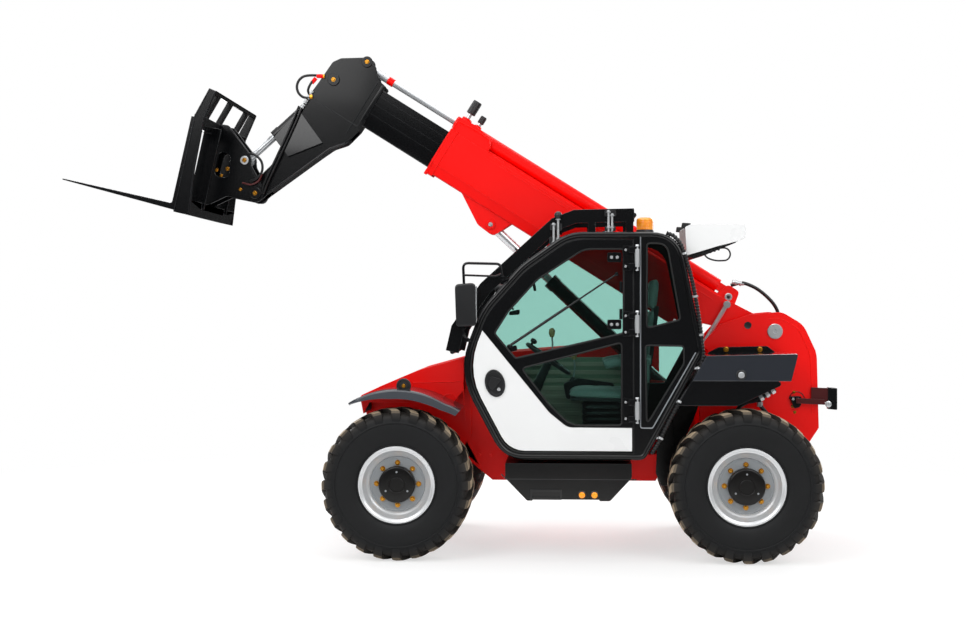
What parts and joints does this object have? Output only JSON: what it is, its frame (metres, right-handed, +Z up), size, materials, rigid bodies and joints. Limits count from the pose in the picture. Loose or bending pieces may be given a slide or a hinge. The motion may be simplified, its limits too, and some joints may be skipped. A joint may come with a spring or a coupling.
{
  "type": "compact telehandler",
  "caption": "Compact four-wheel-steer telehandler with side cab, raised telescopic boom and pallet forks.",
  "frame": {"origin": "bottom centre of the machine's bounding box, on the ground", "axes": "+X forwards towards the fork tips, +Y to the machine's left, the cab's side, +Z up"},
  "size_m": [5.4249, 1.81, 3.4837],
  "materials": {
    "red_paint": "gloss paint",
    "black_paint": "satin black paint",
    "white_paint": "gloss white paint",
    "grey_paint": "gloss dark grey paint",
    "chrome": "hard chrome",
    "silver_paint": "silver paint",
    "tyre_rubber": "matt rubber",
    "cast_iron": "rough cast",
    "tinted_glass": "green tinted",
    "amber_lens": "clear amber",
    "seat_vinyl": "matt vinyl",
    "black_plastic": "fine grain"
  },
  "bodies": {
    "chassis": {"chassis_frame": "red_paint", "rear_tower": "red_paint", "front_axle": "cast_iron", "rear_axle": "cast_iron", "step_panel": "black_paint", "left_tank": "black_paint", "left_tank_cover": "grey_paint", "right_tank": "black_paint", "engine_block": "cast_iron", "engine_cover": "red_paint", "rear_bracket": "black_paint", "left_fender": "black_plastic", "right_fender": "black_plastic", "cab_left_side": "black_paint", "cab_right_side": "black_paint", "cab_rear_wall": "black_paint", "cab_roof": "black_paint", "cab_floor": "black_paint", "windscreen": "tinted_glass", "rear_window": "tinted_glass", "right_window": "tinted_glass", "quarter_glass": "tinted_glass", "roof_guard": "black_paint", "mirror": "black_plastic", "beacon": "amber_lens", "condenser_box": "white_paint", "seat": "seat_vinyl", "seat_base": "black_paint", "steering_column": "black_plastic"},
    "boom": {"outer_boom": "red_paint", "extension_barrel": "red_paint"},
    "boom_extension": {"inner_boom": "black_paint", "extension_rod": "chrome"},
    "fork_carriage": {"carriage": "black_paint", "left_fork": "black_paint", "right_fork": "black_paint"},
    "lift_cylinder_rod": {"lift_rod": "chrome"},
    "lift_cylinder_barrel": {"lift_barrel": "black_paint"},
    "levelling_cylinder_barrel": {"leveller_barrel": "black_paint"},
    "levelling_cylinder_rod": {"leveller_rod": "chrome"},
    "tilt_cylinder_barrel": {"tilt_barrel": "black_paint"},
    "tilt_cylinder_rod": {"tilt_rod": "chrome"},
    "door": {"door_frame": "black_paint", "door_panel": "white_paint", "door_glass": "tinted_glass"},
    "hood": {"engine_hood": "red_paint"},
    "front_left_steering_knuckle": {"front_left_knuckle": "cast_iron"},
    "front_left_wheel": {"front_left_rim": "silver_paint", "front_left_tyre": "tyre_rubber"},
    "front_right_steering_knuckle": {"front_right_knuckle": "cast_iron"},
    "front_right_wheel": {"front_right_rim": "silver_paint", "front_right_tyre": "tyre_rubber"},
    "rear_left_steering_knuckle": {"rear_left_knuckle": "cast_iron"},
    "rear_left_wheel": {"rear_left_rim": "silver_paint", "rear_left_tyre": "tyre_rubber"},
    "rear_right_steering_knuckle": {"rear_right_knuckle": "cast_iron"},
    "rear_right_wheel": {"rear_right_rim": "silver_paint", "rear_right_tyre": "tyre_rubber"}
  },
  "joints": [
    {"name": "boom_lift", "type": "hinge", "parent": "chassis", "child": "boom", "pos_m": [-2.24648, -0.06, 1.513], "axis": [0, -1, 0], "range_deg": [-35, 36]},
    {"name": "boom_extend", "type": "slide", "parent": "boom", "child": "boom_extension", "axis": [0.8462, 0, 0.5329], "range_m": [-0.45, 1.3]},
    {"name": "carriage_tilt", "type": "hinge", "parent": "boom_extension", "child": "fork_carriage", "pos_m": [1.45104, -0.06, 2.50606], "axis": [0, 1, 0], "range_deg": [-36, 98]},
    {"name": "lift_rod_pivot", "type": "hinge", "parent": "boom", "child": "lift_cylinder_rod", "pos_m": [-0.25012, -0.06, 2.2762], "axis": [0, -1, 0], "range_deg": [-2, 2]},
    {"name": "lift_barrel_slide", "type": "slide", "parent": "lift_cylinder_rod", "child": "lift_cylinder_barrel", "axis": [0.7288, 0, 0.6847], "range_m": [-0.48, 0.47]},
    {"name": "levelling_barrel_pivot", "type": "hinge", "parent": "chassis", "child": "levelling_cylinder_barrel", "pos_m": [-1.45348, 0.105, 0.905], "axis": [0, -1, 0], "range_deg": [-2.5, 2.5]},
    {"name": "levelling_rod_slide", "type": "slide", "parent": "levelling_cylinder_barrel", "child": "levelling_cylinder_rod", "axis": [-0.5089, 0, 0.8608], "range_m": [-0.24, 0.245]},
    {"name": "tilt_barrel_pivot", "type": "hinge", "parent": "boom_extension", "child": "tilt_cylinder_barrel", "pos_m": [0.88444, -0.06, 3.32511], "axis": [0, 1, 0], "range_deg": [-2, 4]},
    {"name": "tilt_rod_slide", "type": "slide", "parent": "tilt_cylinder_barrel", "child": "tilt_cylinder_rod", "axis": [0.7437, 0, -0.6685], "range_m": [-0.135, 0.36]},
    {"name": "door_hinge", "type": "hinge", "parent": "chassis", "child": "door", "pos_m": [-1.25948, 0.87, 1.57], "axis": [0, 0, 1], "range_deg": [0, 100]},
    {"name": "hood_hinge", "type": "hinge", "parent": "chassis", "child": "hood", "pos_m": [-1.47848, -0.585, 1.185], "axis": [0, -1, 0], "range_deg": [0, 50]},
    {"name": "front_left_steer", "type": "hinge", "parent": "chassis", "child": "front_left_steering_knuckle", "pos_m": [0.32652, 0.56, 0.505], "axis": [0, 0, 1], "range_deg": [-35, 35]},
    {"name": "front_left_wheel_spin", "type": "hinge", "parent": "front_left_steering_knuckle", "child": "front_left_wheel", "pos_m": [0.32652, 0.75, 0.505], "axis": [0, 1, 0], "continuous": true},
    {"name": "front_right_steer", "type": "hinge", "parent": "chassis", "child": "front_right_steering_knuckle", "pos_m": [0.32652, -0.56, 0.505], "axis": [0, 0, 1], "range_deg": [-35, 35]},
    {"name": "front_right_wheel_spin", "type": "hinge", "parent": "front_right_steering_knuckle", "child": "front_right_wheel", "pos_m": [0.32652, -0.75, 0.505], "axis": [0, 1, 0], "continuous": true},
    {"name": "rear_left_steer", "type": "hinge", "parent": "chassis", "child": "rear_left_steering_knuckle", "pos_m": [-1.97348, 0.56, 0.505], "axis": [0, 0, 1], "range_deg": [-35, 35]},
    {"name": "rear_left_wheel_spin", "type": "hinge", "parent": "rear_left_steering_knuckle", "child": "rear_left_wheel", "pos_m": [-1.97348, 0.75, 0.505], "axis": [0, 1, 0], "continuous": true},
    {"name": "rear_right_steer", "type": "hinge", "parent": "chassis", "child": "rear_right_steering_knuckle", "pos_m": [-1.97348, -0.56, 0.505], "axis": [0, 0, 1], "range_deg": [-35, 35]},
    {"name": "rear_right_wheel_spin", "type": "hinge", "parent": "rear_right_steering_knuckle", "child": "rear_right_wheel", "pos_m": [-1.97348, -0.75, 0.505], "axis": [0, 1, 0], "continuous": true}
  ],
  "couplings": [
    {"joint": "lift_rod_pivot", "follows": "boom_lift", "ratio": 0.0475},
    {"joint": "lift_barrel_slide", "follows": "boom_lift", "m_per_rad": -0.75},
    {"joint": "levelling_barrel_pivot", "follows": "boom_lift", "ratio": 0.055},
    {"joint": "levelling_rod_slide", "follows": "boom_lift", "m_per_rad": 0.377},
    {"joint": "tilt_barrel_pivot", "follows": "carriage_tilt", "ratio": 0.03},
    {"joint": "tilt_rod_slide", "follows": "carriage_tilt", "m_per_rad": 0.205},
    {"joint": "front_right_steer", "follows": "front_left_steer", "ratio": 1},
    {"joint": "rear_right_steer", "follows": "rear_left_steer", "ratio": 1}
  ]
}
